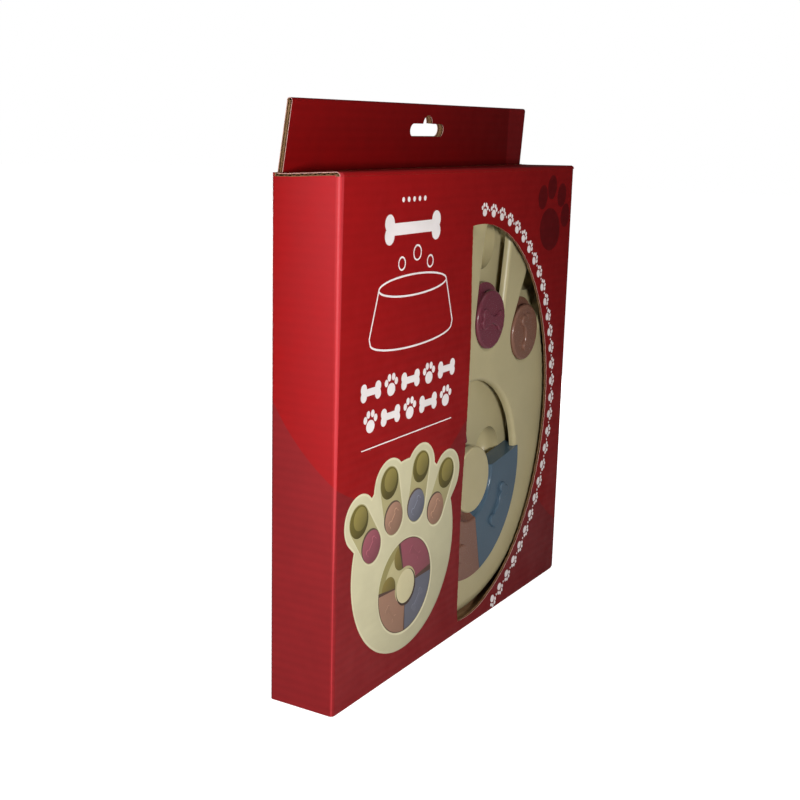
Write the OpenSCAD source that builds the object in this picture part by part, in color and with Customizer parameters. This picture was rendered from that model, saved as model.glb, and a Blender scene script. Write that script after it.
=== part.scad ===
// Paw-shaped treat puzzle for dogs, standing in its window carton with a hang header.
// Four caps slide along toe channels and three sectors turn round a hub, over treat wells.
// Frame: origin at the bottom centre of the carton, +Z up, the window side towards -Y, millimetres.
// The toy is drawn lying face up, z = 0 on its face, and is then stood up in the carton.

/* [Carton] */
// Outer width of the carton
carton_w = 300; // [298:1:310]
// Outer depth of the carton
carton_d = 44; // [44:1:50]
// Height of the carton up to its lid
carton_h = 300; // [298:1:306]
// Thickness of the corrugated board
board = 1.8; // [1.5:0.1:1.9]
// Outer radius of the rolled creases
crease_r = 2.6; // [2.2:0.1:3.4]
// Width of the glued seam flap
glue_flap_w = 16; // [10:1:20]
// Length of the small flaps at the side panels
dust_flap_l = 30; // [20:1:31]
// Length of the lid's tuck flap
tuck_l = 20; // [12:1:21]
// Running gap round the folding flaps
flap_gap = 0.4; // [0.3:0.05:0.6]

/* [Window] */
// Half width of the ellipse that the window is cut from
window_half_w = 111; // [106:0.5:116]
// Half height of that ellipse
window_half_h = 130.3; // [124:0.1:132]
// Centre of the ellipse, measured from the middle of the front
window_x = 9.5; // [6:0.5:12]
// Height of the ellipse's centre
window_z = 136.5; // [136:0.5:140]
// Straight side of the window, measured from the middle of the front
window_cut_x = -0.5; // [-10:0.5:5]

/* [Header] */
// Height of the hang header along its slope
header_h = 37.5; // [34:0.5:46]
// Forward lean of the header, degrees
header_lean = 6; // [0:0.5:8]
// How much the header is cut back on each side at its foot
header_inset = 6; // [3:0.2:10]
// Further cut back on each side at its top
header_taper = 3; // [0:0.5:6]
// Width of the hang slot
slot_w = 41.4; // [32:0.2:44]
// Height of the hang slot
slot_h = 7.9; // [6:0.1:9]
// Height of the slot's lower edge above the header's foot
slot_rise = 19.5; // [14:0.5:22]
// Sideways place of the slot
slot_x = 4.2; // [-10:0.2:10]
// How far the back ply's slot sits beside the front ply's
slot_skew = -2; // [-3:0.5:3]
// Radius of the peg notch in the top of the slot
notch_r = 5.8; // [4:0.1:7]

/* [Toy body] */
// Place of the ring's axis, measured from the middle of the carton
toy_x = 19.8; // [12:0.1:22]
// Depth of the toy's face behind the carton's front
toy_setback = 6; // [5.6:0.1:7]
// Middle line of the paw, sideways from the ring's axis
paw_x = -8; // [-12:0.5:-6]
// Radius of the palm outline on either side
palm_r = 122; // [118:0.5:122]
// Height of the palm's centres above the ring's axis
palm_rise = 27.3; // [25:0.1:29]
// Thickness of the body without its feet
body_t = 32; // [30:0.5:32]
// Depth of the channel floor below the face, which is also the top shell's height
shell_h = 12; // [11:0.5:13]
// Rounding of the face's outer edge
edge_r = 11.5; // [8:0.5:11.5]
// Rounding of the underside's outer edge
base_edge_r = 4; // [2:0.5:6]
// Outline radius round each toe tip
toe_r = 31; // [30:0.5:32]
// Rounding of the clefts between the toes
cleft_r = 10; // [8:0.5:12]
// Rounding of the waist between palm and outer toe
waist_r = 25; // [20:1:30]

/* [Toe channels] */
// Outer cap at rest, sideways from the ring's axis
outer_cap_x = 70.8; // [69:0.1:71]
// Outer cap at rest, above the ring's axis
outer_cap_y = 89.5; // [89:0.1:91]
// Slant of the outer channels, degrees
outer_slant = 29; // [28:0.5:30]
// Inner cap at rest, sideways from the ring's axis
inner_cap_x = 18.3; // [18:0.1:19]
// Inner cap at rest, above the ring's axis
inner_cap_y = 104.4; // [103:0.1:105]
// Slant of the inner channels, degrees
inner_slant = 9; // [8:0.5:10]
// Travel of a cap, from rest to over its well
cap_travel = 50; // [46:0.5:51]
// Half width of a channel between its lips
channel_r = 18.5; // [18:0.1:19]
// Radius of a cap's foot, which is held under the lips
cap_foot_r = 24.2; // [23:0.1:24.4]
// Height of the hollow under the top plate, where the feet run
hollow_h = 7.5; // [7:0.1:8]
// Width of the top shell's rim round that hollow
rim_t = 5; // [4.8:0.1:5]
// Rounding of the channel lips
lip_r = 3; // [2.5:0.5:3.5]
// Radius of a toe well
toe_well_r = 18; // [16:0.5:18]
// Depth of the wells below the channel floor
well_depth = 14; // [10:0.5:15]
// Rounding of a well's bottom edge
well_round = 8; // [4:0.5:8]
// Radius of a cap's disc, which reaches over the channel lips
cap_r = 19.4; // [19:0.1:19.8]
// Height of a cap's disc above the face
cap_proud = 1.6; // [1:0.1:1.8]
// Height of the raised bone figures
relief_h = 1.9; // [0.8:0.1:2]

/* [Ring] */
// Radius of the ring opening in the face
ring_r = 65.5; // [64:0.1:66]
// Outer radius of the sectors' foot, which is held under the ring's lip
sector_foot_r = 72.7; // [71:0.1:73.2]
// Span of each turning sector, degrees
sector_span = 84.6; // [80:0.2:84.6]
// Radius of the circle that the ring wells lie on
ring_well_place = 45; // [44:0.5:46]
// Radius of a ring well
ring_well_r = 17.5; // [14:0.5:17.5]
// Radius of the hub cap
hub_r = 22.3; // [21:0.1:23]
// Radius of the hub post under its cap
post_r = 18; // [16:0.5:18.5]
// Height of the hub cap above the face
hub_proud = 2; // [1:0.1:2]

/* [Hidden] */
$fn = 96;

print_red = [0.66, 0.11, 0.12];
kraft = [0.68, 0.53, 0.38];
cream = [0.80, 0.77, 0.62];
plum = [0.42, 0.21, 0.28];
rose_brown = [0.52, 0.35, 0.28];
slate_blue = [0.27, 0.36, 0.44];
steel = [0.75, 0.75, 0.77];
dark_rubber = [0.20, 0.20, 0.20];

half_w = carton_w / 2;
half_d = carton_d / 2;
front_y = -half_d;
over = 1;                                 // how far cutters run past what they cut
floor_z = 2 * board;                      // top of the two glued bottom flaps
lid_under = carton_h - board;
front_top = carton_h - crease_r;          // raw top edge of the front panel
lid_hinge_y = half_d - 2 * board - 1;
lid_hinge_z = carton_h - board / 2;
lid_end_gap = 0.6;
dust_flap_front = front_y + 11;           // the small flaps stay behind the tuck
dust_flap_back = half_d - board - 3;
dust_flap_taper = 4;
dust_z = lid_under - flap_gap - board / 2;
tuck_y = front_y + board + 0.6 + board / 2;
tuck_taper = 8;
ply_foot = 0.8;                           // the front ply of the header starts this far up

ring_z = floor_z + 0.1 + palm_r - palm_rise;
face_y = front_y + toy_setback;
floor_y = -shell_h;                       // channel floor, below the toy's face
plate_low = -shell_h + hollow_h;           // underside of the top plate
run = 0.3;                                // running gap of caps and sectors
tip_play = 0.5;                           // channel length past a cap's travel
cap_low = -0.5;                           // underside of a cap's disc, just over the lips' rounding

// Toes from left to right: place of the cap at rest and turn of its channel.
toes = [
    [[2 * paw_x - outer_cap_x, outer_cap_y], outer_slant], [[2 * paw_x - inner_cap_x, inner_cap_y], inner_slant],
    [[inner_cap_x, inner_cap_y], -inner_slant], [[outer_cap_x, outer_cap_y], -outer_slant]
];
function tip(toe) = toe[0] + cap_travel * [-sin(toe[1]), cos(toe[1])];
tips = [for (toe = toes) tip(toe)];
palm_right = [0, palm_rise];
palm_left = [2 * paw_x, palm_rise];

// Where the sectors start, counted anticlockwise from the right.
sector_starts = [-76.6, -161.6, 108];
well_angles = [for (i = [0:3]) 10 + 90 * i];

screw_r = 1.5;
boss_r = 4.2;                             // top shell's screw posts in the hollow
screw_spots = [[-77, 132], [-8, 138], [61, 132], [-112, 40], [96, 40], [-80, -34], [74, -36]];
foot_spots = [[-8, -78], [-108, 0], [92, 0], [-76, 110], [60, 110]];
foot_r = 8;
foot_t = 3;
foot_seat = 1;

// ---------- flat outlines ----------

// Cross-section of a board with a rolled crease at both ends, seen from above, outer face at y = 0.
module creased_board(width) {
    translate([-width / 2 + crease_r, 0]) square([width - 2 * crease_r, board]);
    for (side = [-1, 1]) translate([side * (width / 2 - crease_r), crease_r])
        intersection() {
            difference() { circle(crease_r); circle(crease_r - board); }
            translate([side > 0 ? 0 : -crease_r, -crease_r]) square(crease_r);
        }
}

// A flap that narrows towards its free edge, root on the X axis and free edge at y = length.
module tapered_flap(width, length, taper) {
    polygon([[-width / 2, 0], [width / 2, 0], [width / 2 - taper, length], [-width / 2 + taper, length]]);
}

// Hang slot with round ends and a peg notch in its upper edge, standing on y = 0.
module hang_slot() {
    straight = slot_w / 2 - slot_h / 2;
    translate([-straight, 0]) square([2 * straight, slot_h]);
    for (side = [-1, 1]) translate([side * straight, slot_h / 2]) circle(slot_h / 2);
    translate([0, slot_h - notch_r / 10]) circle(notch_r);
}

module header_outline(foot, slot_shift) {
    tapered_at = function(height) half_w - header_inset - header_taper * height / header_h;
    difference() {
        polygon([
            [-tapered_at(foot), foot], [tapered_at(foot), foot],
            [tapered_at(header_h), header_h], [-tapered_at(header_h), header_h]
        ]);
        translate([slot_x + slot_shift, slot_rise]) hang_slot();
    }
}

// Part of an ellipse to the right of the window's straight side, centred on the origin.
module window_outline() {
    steps = 33;
    last = acos((window_cut_x - window_x) / window_half_w);
    polygon([for (i = [-steps:steps]) [window_half_w * cos(last * i / steps), window_half_h * sin(last * i / steps)]]);
}

// ---------- carton ----------

module front_panel() {
    color(print_red) difference() {
        translate([0, front_y, 0]) linear_extrude(front_top) creased_board(carton_w);
        translate([window_x, front_y - over, window_z]) rotate([-90, 0, 0])
            linear_extrude(board + 2 * over) window_outline();
    }
}

module back_panel() {
    color(print_red) {
        translate([0, half_d, 0]) mirror([0, 1, 0]) linear_extrude(carton_h) creased_board(carton_w);
        header_place() rotate([90, 0, 0]) linear_extrude(board) header_outline(0, slot_skew);
    }
}

// Turns to the header's slope, with y = 0 on its back face.
module header_place() {
    translate([0, half_d, carton_h]) rotate([header_lean, 0, 0]) children();
}

module header_front_ply() {
    fold_half = half_w - header_inset - header_taper;
    color(print_red) header_place() {
        translate([0, -board, 0]) rotate([90, 0, 0]) linear_extrude(board) header_outline(ply_foot, 0);
        translate([0, -board, header_h]) rotate([0, 90, 0]) intersection() {
            cylinder(r = board, h = 2 * fold_half, center = true, $fn = 48);
            translate([-board, -board, -fold_half]) cube([board, 2 * board, 2 * fold_half]);
        }
    }
}

// Side panel with a rolled crease along its top, where its small flap folds in.
module side_panel(side) {
    depth = carton_d - 2 * crease_r;
    top = lid_under - 0.1;
    color(print_red) translate([0, depth / 2, 0]) rotate([90, 0, 0]) linear_extrude(depth)
        difference() {
            translate([side > 0 ? half_w - board : -half_w, 0]) square([board, top]);
            difference() {
                translate([side * (half_w - board) - (side > 0 ? 0 : board), top - board]) square(board + over);
                translate([side * (half_w - board), top - board]) circle(board);
            }
        }
}

module left_side_panel() side_panel(-1);
module right_side_panel() side_panel(1);

// Seam flap with its corner cut away from the crease beside it.
module glue_flap() {
    clear = crease_r - board;
    color(kraft) translate([half_w - board, half_d - 2 * board, floor_z + 4]) mirror([1, 0, 0])
        linear_extrude(carton_h - 14)
            polygon([[0, 0], [glue_flap_w, 0], [glue_flap_w, board], [clear, board], [0, board - clear]]);
}

module bottom_outer_flap() {
    color(print_red) translate([-half_w + crease_r, front_y + board, 0])
        cube([carton_w - 2 * crease_r, carton_d - 2 * board, board]);
}

module bottom_inner_flap() {
    color(kraft) translate([-half_w + crease_r, front_y + board + 2, board])
        cube([carton_w - 2 * crease_r, carton_d - 2 * board - 2, board]);
}

module bottom_dust_flap(side) {
    color(kraft) translate([side * (half_w - board), 0, floor_z]) rotate([0, 0, side * 90])
        linear_extrude(board) tapered_flap(carton_d - 2 * board - 2, dust_flap_l, dust_flap_taper);
}

module bottom_dust_flap_left() bottom_dust_flap(-1);
module bottom_dust_flap_right() bottom_dust_flap(1);

// Lid with its rolled front crease; its back end is round about the hinge line.
module lid_panel() {
    reach = carton_w - 2 * lid_end_gap;
    color(print_red) translate([-reach / 2, 0, 0]) rotate([90, 0, 90]) linear_extrude(reach) {
        translate([front_y + crease_r, lid_under]) square([lid_hinge_y - front_y - crease_r, board]);
        translate([lid_hinge_y, lid_hinge_z]) circle(board / 2, $fn = 48);
        translate([front_y + crease_r, front_top]) intersection() {
            difference() { circle(crease_r); circle(crease_r - board); }
            translate([-crease_r, 0.1]) square([crease_r, crease_r]);
        }
    }
}

module lid_tuck_flap() {
    reach = carton_w - 2 * board - 2;
    color(print_red) translate([0, tuck_y, front_top - board / 2]) {
        rotate([0, 90, 0]) cylinder(d = board, h = reach, center = true, $fn = 48);
        translate([0, -board / 2, 0]) rotate([-90, 0, 0]) linear_extrude(board)
            tapered_flap(reach, tuck_l, tuck_taper);
    }
}

module top_dust_flap(side) {
    root = half_w - board - flap_gap - board / 2;
    width = dust_flap_back - dust_flap_front;
    color(print_red) translate([side * root, (dust_flap_front + dust_flap_back) / 2, dust_z]) {
        rotate([90, 0, 0]) cylinder(d = board, h = width, center = true, $fn = 48);
        translate([0, 0, -board / 2]) rotate([0, 0, side * 90]) linear_extrude(board)
            tapered_flap(width, dust_flap_l, dust_flap_taper);
    }
}

module top_dust_flap_left() top_dust_flap(-1);
module top_dust_flap_right() top_dust_flap(1);

// ---------- toy, drawn face up ----------

// Stands the toy up in the carton, with its face towards -Y.
module in_carton() {
    translate([toy_x, face_y, ring_z]) rotate([90, 0, 0]) children();
}

// Moves to a cap's rest place and turns +Y along its channel.
module at_toe(toe) {
    translate([toe[0].x, toe[0].y, 0]) rotate([0, 0, toe[1]]) children();
}

// Half cross-section of a round hole of radius r whose rim is rounded over at y = 0.
module flared_hole(r, depth, rim) {
    translate([0, -depth]) square([r, depth + over]);
    translate([0, -rim]) difference() {
        square([r + rim, rim + over]);
        translate([r + rim, 0]) circle(rim);
    }
}

// Half cross-section of a round slab from y = low to high with a rounded upper edge.
module round_slab(r, low, high, edge) {
    difference() {
        translate([0, low]) square([r, high - low]);
        difference() {
            translate([r - edge, high - edge]) square(edge + over);
            translate([r - edge, high - edge]) circle(edge);
        }
    }
}

// Centre of the circle of radius r that touches circle a and circle b from outside, on the left of a to b.
function touching(a, ra, b, rb, r) =
    let (d = norm(b - a), p = ra + r, q = rb + r, u = (d * d + p * p - q * q) / (2 * d),
         v = sqrt(p * p - u * u), along = (b - a) / d)
    a + u * along + v * [-along.y, along.x];

// Fills the corner between two round slabs up to a concave rounding, edge included.
module cleft_fill(a, ra, b, rb, r, height, edge) {
    centre = touching(a, ra, b, rb, r);
    difference() {
        translate([0, 0, -height]) linear_extrude(height) polygon([a, b, centre]);
        translate([centre.x, centre.y, 0]) rotate_extrude() flared_hole(r - 0.05, height + over, edge);
    }
}

// The paw outline as a solid of the given height below z = 0, with its upper edge rounded and set in all round.
module paw_slab(height, edge, inset = 0) {
    palm = palm_r - inset;
    toe = toe_r - inset;
    cleft = cleft_r + inset;
    waist = waist_r + inset;
    for (at = [palm_left, palm_right]) translate([at.x, at.y, 0])
        rotate_extrude($fn = 180) round_slab(palm, -height, 0, edge);
    translate([palm_left.x, palm_left.y, 0]) rotate([90, 0, 90])
        linear_extrude(norm(palm_right - palm_left)) mirror([1, 0]) round_slab(palm, -height, 0, edge);
    for (at = tips) translate([at.x, at.y, 0]) rotate_extrude() round_slab(toe, -height, 0, edge);
    translate([0, 0, -height]) linear_extrude(height) polygon(concat([palm_right, palm_left], tips));
    for (i = [0:2]) cleft_fill(tips[i], toe, tips[i + 1], toe, cleft, height, edge);
    cleft_fill(palm_left, palm, tips[0], toe, waist, height, edge);
    cleft_fill(tips[3], toe, palm_right, palm, waist, height, edge);
}

// Channel cut through the top plate between rounded lips.
module channel_cut() {
    reach = cap_travel + tip_play;
    for (y = [0, reach]) translate([0, y, 0]) rotate_extrude() flared_hole(channel_r, shell_h, lip_r);
    translate([0, reach, 0]) rotate([90, 0, 0]) linear_extrude(reach) {
        flared_hole(channel_r, shell_h, lip_r);
        mirror([1, 0]) flared_hole(channel_r, shell_h, lip_r);
    }
}

// Hollow under the top plate, with the screw posts left standing in it and room for the caps' feet.
module shell_hollow() {
    difference() {
        translate([0, 0, plate_low]) paw_slab(hollow_h + over, 1.5, rim_t);
        for (at = screw_spots) translate([at.x, at.y, -shell_h - 2 * over]) cylinder(r = boss_r, h = shell_h + over);
    }
    for (toe = toes) at_toe(toe) stadium(cap_foot_r + run, cap_travel + tip_play, -shell_h - over, plate_low);
}

// A slot with round ends, from y = 0 to reach, between two heights.
module stadium(r, reach, low, high) {
    for (y = [0, reach]) translate([0, y, low]) cylinder(r = r, h = high - low);
    translate([-r, 0, low]) cube([2 * r, reach, high - low]);
}

module top_shell() {
    color(cream) in_carton() difference() {
        paw_slab(shell_h, edge_r);
        shell_hollow();
        for (toe = toes) at_toe(toe) channel_cut();
        rotate_extrude($fn = 180) flared_hole(ring_r, shell_h, lip_r);
        for (at = screw_spots) translate([at.x, at.y, -shell_h - over]) cylinder(r = screw_r + 0.05, h = 8 + over);
    }
}

module well_cut(r) {
    translate([0, 0, -shell_h - well_depth]) mirror([0, 0, 1]) rotate_extrude()
        round_slab(r, -well_depth - over, 0, well_round);
}

module bottom_tray() {
    color(cream) in_carton() difference() {
        union() {
            translate([0, 0, -body_t]) mirror([0, 0, 1]) paw_slab(body_t - shell_h, base_edge_r);
            translate([0, 0, -shell_h - over]) cylinder(r = post_r, h = shell_h + over - 3);
        }
        for (at = tips) translate([at.x, at.y, 0]) well_cut(toe_well_r);
        for (angle = well_angles) rotate([0, 0, angle]) translate([ring_well_place, 0, 0]) well_cut(ring_well_r);
        for (at = screw_spots) translate([at.x, at.y, -body_t - over]) {
            cylinder(r = screw_r + 0.2, h = body_t);
            cylinder(r = 3.6, h = 8 + over);
        }
        for (at = foot_spots) translate([at.x, at.y, -body_t - over]) cylinder(r = foot_r + 0.1, h = foot_seat + over);
        translate([0, 0, -body_t - over]) {
            cylinder(r = 5, h = 10 + over);
            cylinder(r = 2.2, h = body_t + over);
        }
        translate([0, 0, -15]) cylinder(r = 7.05, h = 15);
    }
}

module hub_cap() {
    disc_t = hub_proud + 2.9;
    color(cream) in_carton() difference() {
        union() {
            rotate_extrude() round_slab(hub_r, hub_proud - disc_t, hub_proud, 1.5);
            translate([0, 0, -14.5]) cylinder(r = 7, h = 12.5);
        }
        translate([0, 0, -15]) cylinder(r = 2.05, h = 11);
    }
}

module pan_screw(r, length, head_r, head_t) {
    cylinder(r = r, h = length);
    difference() {
        translate([0, 0, -head_t]) cylinder(r = head_r, h = head_t);
        translate([0, 0, -head_t - over]) cylinder(r = head_r * 0.35, h = head_t * 0.5 + over, $fn = 6);
    }
}

module hub_screw() {
    color(steel) in_carton() translate([0, 0, -body_t + 10]) pan_screw(2, 17, 4.5, 3);
}

module shell_screws() {
    color(steel) in_carton() for (at = screw_spots) translate([at.x, at.y, -body_t + 8])
        pan_screw(screw_r, 19, 3.2, 2.4);
}

module rubber_feet() {
    color(dark_rubber) in_carton() for (at = foot_spots)
        translate([at.x, at.y, -body_t + foot_seat]) mirror([0, 0, 1])
            rotate_extrude() round_slab(foot_r, 0, foot_t, 1);
}

// A bone figure along X, raised from z = 0, with rounded knobs and a waist.
module bone(length, width, height) {
    knob = width * 0.3;
    edge = 1;
    waist = width * 0.2;
    curve = length * 0.45;
    for (x = [-1, 1], y = [-1, 1]) translate([x * (length / 2 - knob), y * (width / 2 - knob), 0])
        rotate_extrude($fn = 48) round_slab(knob, 0, height, edge);
    difference() {
        translate([knob - length / 2, -width * 0.28, 0]) cube([length - 2 * knob, width * 0.56, height]);
        for (y = [-1, 1]) translate([0, y * (waist + curve), height])
            rotate_extrude() flared_hole(curve, height + over, edge);
    }
}

// Sliding cap: a foot that runs under the top plate, a neck between the lips and a disc with a bone on it.
module toe_cap(toe, shade, bone_length, bone_turn) {
    sunk = 0.5;
    color(shade) in_carton() at_toe(toe) {
        rotate_extrude() {
            translate([0, floor_y + run]) square([cap_foot_r, hollow_h - 2 * run]);
            translate([0, floor_y + run]) square([channel_r - run, -floor_y - run]);
            round_slab(cap_r, cap_low, cap_proud, 1.6);
        }
        translate([0, 0, cap_proud - sunk]) rotate([0, 0, bone_turn]) bone(bone_length, 13.5, relief_h + sunk);
    }
}

module toe_cap_outer_left() toe_cap(toes[0], rose_brown, 26, 51);
module toe_cap_inner_left() toe_cap(toes[1], slate_blue, 30, 90);
module toe_cap_inner_right() toe_cap(toes[2], plum, 30, 0);
module toe_cap_outer_right() toe_cap(toes[3], rose_brown, 26, -51);

// Turning sector: a foot held under the ring's lip and the hub cap, and a body that slopes to the hub inside
// and flares over the lip's rounding outside.
module ring_sector(start, shade) {
    foot_top = plate_low - run;
    top = 0.9;
    inner = 28;
    outer = ring_r - run;
    brim = ring_r + lip_r - 0.2;
    edge = 1.5;
    flat = top - edge;
    color(shade) in_carton() {
        rotate([0, 0, start]) rotate_extrude(angle = sector_span, $fn = 180) {
            translate([post_r + 1, floor_y + run]) square([sector_foot_r - post_r - 1, hollow_h - 2 * run]);
            translate([inner, floor_y + run]) square([outer - inner, flat - floor_y - run]);
            translate([inner + edge, floor_y + run]) square([outer - inner - edge, top - floor_y - run]);
            translate([inner + edge, flat]) circle(edge, $fn = 48);
            polygon([[hub_r + 1, foot_top - 0.5], [inner + 1, foot_top - 0.5], [inner + 1, flat], [inner, flat]]);
            difference() {
                translate([outer - 1, -lip_r]) square([brim - outer + 1, top + lip_r]);
                translate([ring_r + lip_r, -lip_r]) circle(lip_r + run);
            }
        }
        rotate([0, 0, start + sector_span / 2]) translate([(inner + brim) / 2, 0, top - 0.5])
            rotate([0, 0, 90]) bone(32, 13, relief_h + 0.5);
    }
}

module ring_sector_right() ring_sector(sector_starts[0], slate_blue);
module ring_sector_lower() ring_sector(sector_starts[1], rose_brown);
module ring_sector_upper() ring_sector(sector_starts[2], plum);

front_panel();
back_panel();
left_side_panel();
right_side_panel();
glue_flap();
header_front_ply();
bottom_outer_flap();
bottom_inner_flap();
bottom_dust_flap_left();
bottom_dust_flap_right();
lid_panel();
lid_tuck_flap();
top_dust_flap_left();
top_dust_flap_right();
top_shell();
bottom_tray();
hub_cap();
hub_screw();
shell_screws();
rubber_feet();
toe_cap_outer_left();
toe_cap_inner_left();
toe_cap_inner_right();
toe_cap_outer_right();
ring_sector_right();
ring_sector_lower();
ring_sector_upper();
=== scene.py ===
from math import atan2, cos, degrees, hypot, pi, radians, sin, sqrt

import bmesh
import bpy
from mathutils import Euler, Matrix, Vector
from mathutils.geometry import delaunay_2d_cdt


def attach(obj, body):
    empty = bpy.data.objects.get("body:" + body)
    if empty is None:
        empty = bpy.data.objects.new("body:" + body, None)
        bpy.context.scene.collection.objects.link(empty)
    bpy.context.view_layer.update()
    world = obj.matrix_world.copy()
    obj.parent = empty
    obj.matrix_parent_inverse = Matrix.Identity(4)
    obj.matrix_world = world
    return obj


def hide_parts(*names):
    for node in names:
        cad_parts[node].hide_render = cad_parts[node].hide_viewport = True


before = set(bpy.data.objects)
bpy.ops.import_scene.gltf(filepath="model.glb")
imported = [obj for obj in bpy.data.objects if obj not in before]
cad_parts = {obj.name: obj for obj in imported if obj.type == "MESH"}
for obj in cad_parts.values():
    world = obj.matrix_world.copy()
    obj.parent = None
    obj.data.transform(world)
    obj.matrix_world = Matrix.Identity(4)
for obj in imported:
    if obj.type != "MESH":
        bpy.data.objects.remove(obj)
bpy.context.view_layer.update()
print("frame loaded:", len(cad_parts), "nodes")

mm = 0.001


def fromScreen(red, green, blue):
    # screen colour 0-255 to the linear colour that the shaders use
    parts = (value / 255 for value in (red, green, blue))
    return tuple(c / 12.92 if c <= 0.04045 else ((c + 0.055) / 1.055) ** 2.4 for c in parts) + (1,)


def addObject(name, data):
    made = bpy.data.objects.new(name, data)
    scene.collection.objects.link(made)
    return made


def addMesh(name, points, edges, faces):
    mesh = bpy.data.meshes.new(name)
    mesh.from_pydata(points, edges, faces)
    return addObject(name, mesh)


def fill(node, values):
    # each input, by label or number, is linked to a socket or set to a value
    for label, value in values.items():
        if isinstance(value, bpy.types.NodeSocket):
            node.id_data.links.new(value, node.inputs[label])
        else:
            node.inputs[label].default_value = value


def addNode(tree, kind, inputs=None, **settings):
    made = tree.nodes.new(kind)
    for key, value in settings.items():
        setattr(made, key, value)
    fill(made, inputs or {})
    return made


def calc(tree, operation, *values):
    return addNode(tree, "ShaderNodeMath", dict(enumerate(values)), operation=operation).outputs[0]


def times(tree, first, second):
    return calc(tree, "MULTIPLY", first, second)


def newMaterial(name, roughness, specular):
    paint = bpy.data.materials.new(name)
    paint.use_nodes = True
    tree = paint.node_tree
    shader = tree.nodes["Principled BSDF"]
    fill(shader, {"Roughness": roughness, "Specular IOR Level": specular})
    return paint, tree, shader, addNode(tree, "ShaderNodeTexCoord").outputs["Object"]


middle = (0, 0, 0.16)
studio = {
    "cameraAt": (-0.6896, -0.3824, 0.3273),
    "cameraTurn": (77.508, -1.411, -58.912),
    "camera": {"lens": 56.37, "sensor_width": 36, "clip_start": 0.01},
    # name: place, target, power, size
    "lamps": {
        "keyLight": ((-0.56, -0.56, 0.29), middle, 5.4, 0.10),
        "sideLight": ((-1.0, 0.05, 0.36), (-0.15, 0.0, 0.17), 4.2, 0.25),
        "fillLight": ((0.5, -1.6, 0.7), middle, 0.5, 0.9),
        "topLight": ((0.1, -0.45, 1.9), middle, 4.5, 1.2),
        "rightLight": ((0.85, 0.28, 0.16), middle, 2.3, 0.26),
        "backLight": ((0.3, 0.95, 0.16), middle, 4.5, 0.28),
    },
    "worldStrength": 0.06,
    "floorSize": 12,
    "floorColour": (0.5, 0.5, 0.5, 1),
    "floorRoughness": 0.8,
    "floorSpecular": 0.1,
    "floorRise": {"From Min": 0.2, "From Max": 0.9, "To Min": 0.9, "To Max": 1.0},
}

scene = bpy.context.scene
scene.view_settings.view_transform = "Standard"
cameraData = bpy.data.cameras.new("camera")
for key, value in studio["camera"].items():
    setattr(cameraData, key, value)
camera = addObject("camera", cameraData)
camera.location = studio["cameraAt"]
camera.rotation_euler = Euler([radians(a) for a in studio["cameraTurn"]], "XYZ")
scene.camera = camera

for name, (place, target, power, size) in studio["lamps"].items():
    light = bpy.data.lights.new(name, "AREA")
    light.energy, light.size = power, size
    lamp = addObject(name, light)
    lamp.location = place
    lamp.rotation_euler = (Vector(target) - Vector(place)).to_track_quat("-Z", "Y").to_euler()


def byRay(tree, other, seen):
    # one shader for what the camera sees and another for all other rays
    cameraRay = addNode(tree, "ShaderNodeLightPath").outputs["Is Camera Ray"]
    return addNode(tree, "ShaderNodeMixShader", {0: cameraRay, 1: other.outputs[0], 2: seen.outputs[0]}).outputs[0]


scene.world = bpy.data.worlds.new("studioWorld")
scene.world.use_nodes = True
worldTree = scene.world.node_tree
worldTree.nodes.clear()
around, seen = [
    addNode(worldTree, "ShaderNodeBackground", {"Color": (1, 1, 1, 1), "Strength": strength})
    for strength in (studio["worldStrength"], 1.0)
]
addNode(worldTree, "ShaderNodeOutputWorld", {0: byRay(worldTree, around, seen)})

half = studio["floorSize"] / 2
corners = [(-half, -half, 0), (half, -half, 0), (half, half, 0), (-half, half, 0)]
floor = addMesh("floor", corners, [], [(0, 1, 2, 3)])
floorPaint, floorTree, floorShader, floorSpot = newMaterial(
    "floorPaint", studio["floorRoughness"], studio["floorSpecular"],
)
fill(floorShader, {"Base Color": studio["floorColour"]})
floorAway = addNode(floorTree, "ShaderNodeVectorMath", {0: floorSpot}, operation="LENGTH")
# dimmer round the object so that its shadow shows, white further off
rise = {"Value": floorAway.outputs["Value"], **studio["floorRise"]}
floorRise = addNode(floorTree, "ShaderNodeMapRange", rise)
floorGlow = addNode(floorTree, "ShaderNodeEmission", {"Strength": floorRise.outputs[0]})
floorAdd = addNode(floorTree, "ShaderNodeAddShader", {0: floorShader.outputs[0], 1: floorGlow.outputs[0]})
fill(floorTree.nodes["Material Output"], {0: byRay(floorTree, floorShader, floorAdd)})
floor.data.materials.append(floorPaint)
print("studio ready")


def newTree(name, kind, inputs, outputs, values=None):
    # inputs and outputs are label: kind of socket
    tree = bpy.data.node_groups.new(name, kind)
    for way, sockets in (("INPUT", inputs), ("OUTPUT", outputs)):
        for label, socketKind in sockets.items():
            socket = tree.interface.new_socket(label, in_out=way, socket_type="NodeSocket" + socketKind)
            if values and label in values:
                socket.default_value = values[label]
    return tree, addNode(tree, "NodeGroupInput"), addNode(tree, "NodeGroupOutput")


def newGroup(name, values, outputs):
    inputs = {"Coordinates": "Vector", **dict.fromkeys(values, "Float")}
    return newTree(name, "ShaderNodeTree", inputs, dict.fromkeys(outputs, "Float"), values)


def splitAxes(tree, place):
    return addNode(tree, "ShaderNodeSeparateXYZ", {0: place}).outputs


def ramp(tree, value, low, high):
    return addNode(tree, "ShaderNodeMapRange", {"Value": value, "From Min": low, "From Max": high}).outputs[0]


def hypotenuse(tree, first, second):
    squares = [calc(tree, "POWER", value, 2) for value in (first, second)]
    return calc(tree, "SQRT", calc(tree, "ADD", *squares))


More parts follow.
